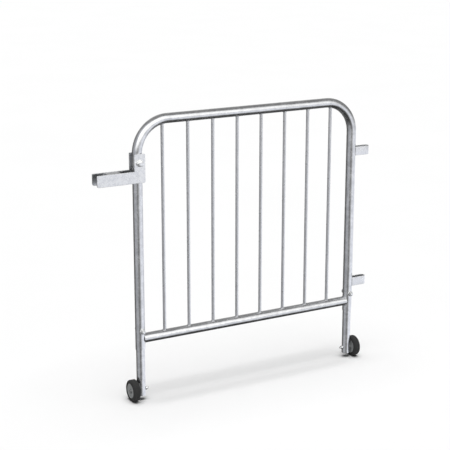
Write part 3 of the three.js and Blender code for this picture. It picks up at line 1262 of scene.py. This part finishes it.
@dataclass
class HingeStraps:
    """Two loops of flat bar, bent to a U and welded on their ends to the hinge post."""

    layout: Layout
    thickness: float = 5 * MM
    edge: float = 0.9 * MM
    bead: float = 1.8 * MM

    def build(self) -> None:
        """Builds both straps and their welds."""
        lines: list[Line] = []
        for node in ("hinge_strap_upper", "hinge_strap_lower"):
            low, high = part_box(node)
            # Faces inside the loop get painted shade.
            inside = self._inside(low, high)
            strap = self._strap(low, high).piece(node + "_bar", PLATE_ZINC, inside=inside)
            fit(strap, "frame", "galvanised_plate", node)
            lines.extend(self._seams(low, high))
        Weld(self.bead, 3.2 * MM).run("strap_welds", "frame", "galvanised_plate", lines)

    def _inside(self, low: Vector, high: Vector) -> Test:
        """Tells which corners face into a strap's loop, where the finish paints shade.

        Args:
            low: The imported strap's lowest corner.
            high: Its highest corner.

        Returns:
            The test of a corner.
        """
        outer = (high.y - low.y) / 2
        centre = high.x - outer
        gap = outer - self.thickness + SLACK
        return lambda c: math.hypot(max(c.x - centre, 0.0), c.y) < gap

    def _section(self, height: float) -> list[Point2]:
        """The flat bar's section, thickness first, with rounded edges."""
        across, up, r = self.thickness / 2 - self.edge, height / 2 - self.edge, self.edge
        corners = [(across, up, 0), (-across, up, 90), (-across, -up, 180), (across, -up, 270)]
        return [p for x, y, a in corners for p in arc((x, y), r, a, a + 90, 4)]

    def _strap(self, low: Vector, high: Vector) -> Draft:
        """One strap, swept round its loop.

        Args:
            low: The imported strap's lowest corner.
            high: Its highest corner.

        Returns:
            The draft.
        """
        post = self.layout.post_x[Side.RIGHT]
        outer = (high.y - low.y) / 2
        bend = outer - self.thickness / 2
        centre = high.x - outer
        level = (low.z + high.z) / 2
        section = self._section(high.z - low.z)
        wall = self.layout.tube - EMBED
        outs = [Vector(point) for point in arc((0, 0), 1, -90, 90, 32)]
        path = [(Vector((post, -bend)), Vector((0, -1)))]
        path += [(Vector((centre, 0)) + out * bend, out) for out in outs]
        path.append((Vector((post, bend)), Vector((0, 1))))
        rings = []
        for spot, out in path:
            ring = []
            for across, up in section:
                x, y = spot + out * across
                x = max(x, post + math.sqrt(wall * wall - y * y)) if x < post + wall else x
                ring.append((x, y, level + up))
            rings.append(ring)
        draft = Draft()
        draft.solid(rings)
        return draft

    def _seams(self, low: Vector, high: Vector) -> list[Line]:
        """Upright welds outside both legs of a strap."""
        post, out = self.layout.post_x[Side.RIGHT], high.y + 0.2 * self.bead
        x = post + math.sqrt(self.layout.tube**2 - high.y**2) + 0.6 * self.bead
        return [upright((x, y), low.z + 2 * MM, high.z - 2 * MM) for y in (-out, out)]


@dataclass
class LatchFork:
    """Two L-shaped plates on the fork bolt, with a spacer and a stop between them."""

    layout: Layout
    edge: float = 0.8 * MM
    corner: float = 6 * MM
    toe: float = 9 * MM
    bar_width: float = 50 * MM
    hole: float = 8.35 * MM

    def build(self) -> None:
        """Builds and fits the plates, the spacer, the stop and their welds."""
        post = self.layout.post_x[Side.LEFT]
        pivot = middle("fork_bolt").z
        hole = [(post + x, pivot + z) for x, z in reversed(circle(self.hole, ROD_SIDES))]
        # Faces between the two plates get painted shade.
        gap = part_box("fork_plate_rear")[0].y + SLACK
        for name in ("fork_plate_front", "fork_plate_rear"):
            self._flat(name, "_cut", self._outline(post), [hole], lambda c: abs(c.y) < gap)
        for name in ("fork_spacer", "fork_stop"):
            low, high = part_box(name)
            sides = [(low.x, low.z), (high.x, low.z), (high.x, high.z), (low.x, high.z)]
            self._flat(name, "_block", sides, [])
        self._welds()

    def _flat(
        self,
        node: str,
        ending: str,
        outline: Sequence[Point2],
        holes: Sequence[Sequence[Point2]],
        inside: Test | None = None,
    ) -> None:
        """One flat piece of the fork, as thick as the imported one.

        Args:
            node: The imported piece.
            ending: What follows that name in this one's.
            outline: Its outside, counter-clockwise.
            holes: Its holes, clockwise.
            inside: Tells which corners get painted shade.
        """
        low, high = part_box(node)
        draft = flat_plate(outline, holes, -high.y, -low.y, self.edge).moved(STAND)
        flat = draft.piece(node + ending, PLATE_ZINC, FLAT_SHARP, inside)
        fit(flat, "latch_fork", "galvanised_plate", node)

    def _outline(self, post: float) -> list[Point2]:
        """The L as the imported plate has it, with true round corners.

        Args:
            post: Where the post's axis is.

        Returns:
            Its corners, counter-clockwise.
        """
        low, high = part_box("fork_plate_front")
        inner = high.x - self.corner
        half = high.x - post
        shoulder = low.z + self.bar_width
        nick = 1.2 * MM
        return [
            *arc((low.x + self.toe, low.z + self.toe), self.toe, 180, 270, 8),
            *arc((inner, low.z + self.corner), self.corner, 270, 360, 8),
            *arc((inner, high.z - self.corner), self.corner, 0, 90, 8),
            *arc((post - half + nick, high.z - nick), nick, 90, 180, 3),
            (post - half, shoulder),
            *arc((low.x + nick, shoulder - nick), nick, 90, 180, 3),
        ]

    def _welds(self) -> None:
        """Beads where the spacer's ends meet the plates."""
        low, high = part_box("fork_spacer")
        lines = [
            upright((x, y), low.z + 4 * MM, high.z - 4 * MM)
            for x in (low.x - 0.5 * MM, high.x + 0.5 * MM)
            for y in (low.y + 0.9 * MM, high.y - 0.9 * MM)
        ]
        Weld(1.4 * MM, 3 * MM).run("fork_welds", "latch_fork", "galvanised_plate", lines)


@dataclass
class TelescopicLegs:
    """A thinner tube in each post, slotted for its bolt and drilled for its axle."""

    layout: Layout
    wall: float = 2 * MM
    slot: float = 6.35 * MM
    drill: float = 4.35 * MM
    lift: float = 60 * MM
    drop: float = 90 * MM
    lip: float = 0.5 * MM

    def build(self) -> None:
        """Builds and fits both legs."""
        for side in Side:
            self._leg(side)

    def _leg(self, side: Side) -> None:
        """One leg tube, cut through by a slot cutter and an axle drill.

        Args:
            side: The post that it slides in.
        """
        here, name, x = self.layout, side.label, self.layout.post_x[side]
        bolt_z = middle(f"leg_bolt_{name}").z
        inner, low, high = here.leg - self.wall, here.leg_low, here.leg_high
        foot = [(inner, low), (here.leg - self.lip, low), (here.leg, low + self.lip)]
        blank = turned([*foot, (here.leg, high), (inner, high)], TUBE_SIDES)
        leg = blank.moved(Matrix.Translation((x, 0, 0))).piece(f"leg_blank_{name}", POST_ZINC)
        reach = 2 * here.leg
        slot = arc((x, bolt_z + self.drop), self.slot, 0, 180, 16)
        slot += arc((x, bolt_z - self.lift), self.slot, 180, 360, 16)
        cutter = flat_plate(slot, [], -reach, reach, KEEN).moved(STAND)
        drill = rod(self.drill, -reach, reach, KEEN)
        cutter.add(drill.moved(axis_place((x, 0, here.axle_z), (1, 0, 0))))
        tool = cutter.piece(f"leg_cutter_{name}", POST_ZINC)
        cut = leg.modifiers.new("cut", "BOOLEAN")
        cut.operation = "DIFFERENCE"
        cut.solver = "EXACT"
        cut.object = tool
        finished = plain(leg, f"leg_tube_{name}")
        bpy.data.objects.remove(tool)
        tidy(finished, turn_out=False)
        fit(finished, f"leg_{name}", "galvanised_tube", f"leg_{name}")


@dataclass
class Wheel:
    """One wheel: tyre, hub and bush, turned round its axle from its inner face outwards."""

    layout: Layout
    side: Side
    seat: float = 33 * MM
    shoulder: float = 9 * MM
    shoulder_run: float = 7 * MM
    rim: float = 2.5 * MM
    dish: float = 1.5 * MM
    boss: float = 12 * MM
    pocket: float = 11.5 * MM
    pocket_depth: float = 5.5 * MM
    hub_bore: float = 7.3 * MM
    bush_bore: float = 4.3 * MM

    def build(self) -> None:
        """Builds and fits the wheel's three pieces."""
        name = self.side.label
        low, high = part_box(f"tyre_{name}")
        inner_face = low.x if self.side is Side.RIGHT else high.x
        place = axis_place((inner_face, 0, self.layout.axle_z), (self.side.value, 0, 0))
        bush_low, bush_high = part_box(f"hub_bush_{name}")
        length, outer = bush_high.x - bush_low.x, (bush_high.z - bush_low.z) / 2
        bore = self.bush_bore
        bush = [(bore, 0), (outer, 0), (outer, length), (bore, length)]
        width = high.x - low.x
        tyre, hub = self._tyre((high.z - low.z) / 2, width), self._hub(width)
        for node, ending, profile, sides, finish, slot in (
            ("tyre", "moulded", tyre, RING_SIDES, RUBBER, "tyre_rubber"),
            ("wheel_hub", "moulded", hub, RING_SIDES, HUB, "hub_plastic"),
            ("hub_bush", "turned", bush, ROD_SIDES, NYLON, "bush_nylon"),
        ):
            draft = turned(profile, sides).moved(place)
            made = draft.piece(f"{node}_{name}_{ending}", finish)
            fit(made, f"wheel_{name}", slot, f"{node}_{name}")

    def _tyre(self, radius: float, width: float) -> list[Point2]:
        """Seat, side walls with a moulded groove, round shoulders and a parting line.

        Args:
            radius: The tyre's radius.
            width: Its width.

        Returns:
            Pairs of radius and distance from the inner face.
        """
        groove, lip, line = self.seat + 3.2 * MM, 0.9 * MM, 0.5 * MM
        wall = [(groove - lip, 0.0), (groove, 0.7 * MM), (groove + lip, 0.0)]
        shoulder = []
        for turn in (math.radians(90 * k / 12) for k in range(13)):
            out = radius - self.shoulder + self.shoulder * math.sin(turn)
            shoulder.append((out, self.shoulder_run * (1 - math.cos(turn))))
        half = [(self.seat, 0.0), *wall, *shoulder, (radius, width / 2 - line)]
        seam = (radius - line / 2, width / 2)
        return [*half, seam, *[(r, width - h) for r, h in reversed(half)]]

    def _hub(self, width: float) -> list[Point2]:
        """Rims, dished webs with a raised ring, a boss inside and a pocket outside.

        Args:
            width: The hub's width.

        Returns:
            Pairs of radius and distance from the inner face.
        """
        edge, web = self.seat - 0.3 * MM, 2 * self.dish
        floor = width - self.dish - self.pocket_depth
        ring, bead, lip, ease = 21 * MM, 0.7 * MM, 0.5 * MM, 0.8 * MM
        face = [
            (ring - 2 * bead, web),
            (ring - bead, web - bead),
            (ring + bead, web - bead),
            (ring + 2 * bead, web),
            (edge - self.rim - self.dish, web),
            (edge - self.rim, self.dish),
            (edge - lip, self.dish),
            (edge, self.dish + lip),
        ]
        return [
            (self.hub_bore, 0.0),
            (self.boss - ease, 0.0),
            (self.boss, ease),
            (self.boss + 0.4 * MM, web),
            *face,
            *[(r, width - h) for r, h in reversed(face)],
            (self.pocket + 1.2 * MM, width - web),
            (self.pocket, width - web - ease),
            (self.pocket - lip, floor),
            (self.hub_bore, floor),
        ]


@dataclass(frozen=True)
class BoltSize:
    """A bolt's measures: shank radius, width across the flats, head height, thread pitch."""

    shank: float
    flats: float
    head: float
    pitch: float


M16 = BoltSize(8 * MM, 24 * MM, 10 * MM, 2.0 * MM)
M12 = BoltSize(6 * MM, 19 * MM, 7.5 * MM, 1.75 * MM)
M8 = BoltSize(4 * MM, 13 * MM, 5.3 * MM, 1.25 * MM)


@dataclass
class Fasteners:
    """Every bolt with its washers and its nut."""

    slot_name: str = "zinc_plated_steel"
    ridge: float = 0.42  # half a thread's ridge, as a share of its pitch
    overlap: float = 0.5 * MM  # between the parts of a shank
    tip: float = 0.8 * MM  # chamfer of a bolt's tip
    clear: float = 0.3 * MM  # between a shank and a washer
    thread: Maker = field(default_factory=screw_thread_maker)

    def build(self) -> None:
        """Builds and fits the fork bolt, both leg bolts and both axle bolts."""
        self._set("fork", "frame", M16, ["fork_washer_front", "fork_washer_rear"], (0, 1, 0))
        for side in Side:
            name = side.label
            washers = [f"leg_head_washer_{name}", f"leg_nut_washer_{name}"]
            self._set(f"leg_{name}", "frame", M12, washers, (0, -1, 0))
            washers = [f"axle_{part}_{name}" for part in ("head_washer", "spacer", "nut_washer")]
            self._set(f"axle_{name}", f"leg_{name}", M8, washers, (-side.value, 0, 0), turn=30)

    @staticmethod
    def _span(node: str, place: Matrix) -> tuple[float, float]:
        """How far a node reaches along a place's third axis, low then high."""
        back = place.inverted()
        ends = sorted((back @ corner).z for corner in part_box(node))
        return ends[0], ends[1]

    def _set(
        self,
        name: str,
        body: str,
        size: BoltSize,
        washers: Sequence[str],
        direction: tuple[int, int, int],
        turn: float = 0.0,
    ) -> None:
        """One bolt, its nut and its washers.

        Args:
            name: What the pieces are called after.
            body: The body that they ride on.
            size: The bolt's measures.
            washers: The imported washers.
            direction: From the head to the tip.
            turn: How far the hexagons are turned about it, in degrees.
        """
        what, _, side = name.partition("_")
        bolt, nut = (f"{what}_{kind}_{side}".rstrip("_") for kind in ("bolt", "nut"))
        twist = Matrix.Rotation(math.radians(turn), 4, "Z")
        place = axis_place(middle(bolt), direction) @ twist
        start, tip = self._span(bolt, place)
        nut_low, nut_high = self._span(nut, place)
        bearing = start + size.head
        ridge = self.ridge * size.pitch
        threaded = nut_low - 2 * size.pitch
        core = size.shank - ridge
        draft = Hexagon(size.flats).draft(bearing, start)
        draft.add(rod(size.shank, bearing - self.overlap, threaded, 0.2 * MM))
        draft.add(rod(core, threaded - self.overlap, tip, self.tip))
        made = draft.moved(place).piece(f"{name}_bolt_forged", BRIGHT)
        fit(made, body, self.slot_name, bolt)
        turns = (tip - self.tip - SLACK - threaded - ridge) / size.pitch
        values = {"Core Radius": core, "Thread Pitch": size.pitch, "Turns": turns, "Ridge": ridge}
        thread = self.thread.run(f"{name}_bolt_thread", BRIGHT, values)
        thread.data.transform(place @ Matrix.Translation((0, 0, threaded)))
        tidy(thread, sharp=THREAD_SHARP)
        fit(thread, body, self.slot_name)
        block = Hexagon(size.flats, size.shank + SLACK, both_ends=True).draft(nut_low, nut_high)
        fit(block.moved(place).piece(f"{name}_nut_forged", BRIGHT), body, self.slot_name, nut)
        for node in washers:
            radius = max(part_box(node)[1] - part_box(node)[0]) / 2
            ring = washer(radius, size.shank + self.clear, *self._span(node, place)).moved(place)
            fit(ring.piece(node + "_stamped", BRIGHT), body, self.slot_name, node)


# ---------------------------------------------------------------- the studio


@dataclass(frozen=True)
class Panel:
    """A soft light or a dark flag beside the set, as bright metal mirrors it.

    Bearings are degrees from +X towards +Y, and heights are sines of the elevation.
    """

    bearing: float
    full: float  # half its width where it is at full strength
    gone: float  # half its width where it has faded out
    foot: Point2  # heights between which it fades in
    head: Point2  # heights between which it fades out
    level: float
    cool: float = 0.0

    def mask(self, graph: Graph, east: Value, north: Value, up: Value) -> Value:
        """How much of the panel a direction sees.

        Args:
            graph: The world's graph.
            east: The direction's level part along +X, of length 1.
            north: The same along +Y.
            up: The direction's height.

        Returns:
            The share, from 0 to 1.
        """
        turn = math.radians(self.bearing)
        along = east * math.cos(turn) + north * math.sin(turn)
        across = along.ramp(math.cos(math.radians(self.gone)), math.cos(math.radians(self.full)))
        return across * up.ramp(*self.foot) * (1.0 - up.ramp(*self.head))


@dataclass(frozen=True)
class Studio:
    """Pale floor, soft light from above, panels round the set and the camera."""

    aim: Point3 = (-0.0711, 0.0, 0.7292)
    azimuth: float = -29.329
    elevation: float = 14.790
    distance: float = 5.4386
    lens: float = 99.74
    sensor: float = 36.0
    sun_strength: float = 3.0
    sun_width: float = 50.0
    sun_tilt: float = 4.5
    dome: float = 0.33
    wall: float = 0.26
    pit: float = 0.055
    panels: tuple[Panel, ...] = (
        Panel(-172, 10, 54, (-0.72, -0.3), (0.85, 1.0), 0.48, cool=0.8),
        Panel(72, 12, 45, (-0.6, 0.05), (0.6, 0.95), 0.4),
        Panel(-16, 44, 92, (-0.8, -0.34), (-0.28, 0.1), 1.03, cool=1.0),
        Panel(-104, 38, 72, (-0.17, 0.17), (0.74, 1.0), 1.5),
        Panel(104, 26, 60, (-1.2, -1.1), (-0.16, 0.1), 0.14),
    )

    def build(self) -> None:
        """Sets up the floor, the lights, the surroundings and the camera."""
        self._floor()
        self._sun()
        self._world()
        self._camera()

    def _floor(self) -> None:
        """A floor far larger than the view."""
        reach = 80.0
        corners = [(-reach, -reach, 0), (reach, -reach, 0), (reach, reach, 0), (-reach, reach, 0)]
        draft = Draft([Vector(c) for c in corners], [(0, 1, 2, 3)])
        floor = draft.piece("studio_floor", FLOOR)
        floor.visible_glossy = False

    def _sun(self) -> None:
        """Wide overhead light that only lights matt surfaces."""
        lamp = bpy.data.lights.new("overhead_light", "SUN")
        lamp.energy = self.sun_strength
        lamp.angle = math.radians(self.sun_width)
        holder = bpy.data.objects.new("overhead_light", lamp)
        holder.rotation_euler.x = math.radians(self.sun_tilt)
        holder.visible_glossy = False
        bpy.context.scene.collection.objects.link(holder)

    def _world(self) -> None:
        """Surroundings: the panels for bright metal, a dome of light for matt surfaces."""
        world = bpy.data.worlds.new("studio")
        world.use_nodes = True
        bpy.context.scene.world = world
        graph = Graph(world.node_tree)
        look = graph.node("ShaderNodeTexCoord").outputs["Generated"]
        split = graph.node("ShaderNodeSeparateXYZ", {}, {0: look})
        east, north, up = (graph.value(split, k) for k in range(3))
        reach = graph.math("SQRT", east * east + north * north + 1e-6)
        east, north = east / reach, north / reach
        mirrored = self.pit + up.ramp(-0.65, -0.12) * (self.wall - self.pit)
        cool = up * 0.0
        for panel in self.panels:
            share = panel.mask(graph, east, north, up)
            mirrored = mirrored.towards(panel.level, share)
            cool = cool.towards(panel.cool, share)
        rays = graph.node("ShaderNodeLightPath")
        seen = graph.value(rays, "Is Camera Ray")
        glossy = graph.value(rays, "Is Glossy Ray")
        dome = up.ramp(0.3, 0.95) * self.dome
        level = dome.towards(mirrored, glossy).towards(1.0, seen)
        tint = graph.blend(cool * glossy, (1.0, 1.0, 1.0), (0.93, 0.955, 1.03))
        sky = graph.node("ShaderNodeBackground", {}, {"Color": tint, "Strength": level})
        graph.node("ShaderNodeOutputWorld", {}, {"Surface": sky.outputs[0]})

    def _camera(self) -> None:
        """A long lens aimed at the middle of the panel."""
        data = bpy.data.cameras.new("camera")
        data.lens = self.lens
        data.sensor_width = self.sensor
        holder = bpy.data.objects.new("camera", data)
        turn, rise = math.radians(self.azimuth), math.radians(self.elevation)
        back = Vector(
            (math.sin(turn) * math.cos(rise), -math.cos(turn) * math.cos(rise), math.sin(rise))
        )
        holder.location = Vector(self.aim) + back * self.distance
        holder.rotation_euler = (-back).to_track_quat("-Z", "Y").to_euler()
        data.clip_end = 400
        bpy.context.scene.collection.objects.link(holder)
        bpy.context.scene.camera = holder


def main() -> None:
    """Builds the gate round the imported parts."""
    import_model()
    bpy.context.scene.view_settings.view_transform = "Standard"
    Studio().build()
    layout = Layout.read()
    TubeFrame(layout).build()
    HingeStraps(layout).build()
    LatchFork(layout).build()
    TelescopicLegs(layout).build()
    for side in Side:
        Wheel(layout, side).build()
    Fasteners().build()


if __name__ == "__main__":
    logging.basicConfig(level=logging.INFO, format="%(message)s")
    main()
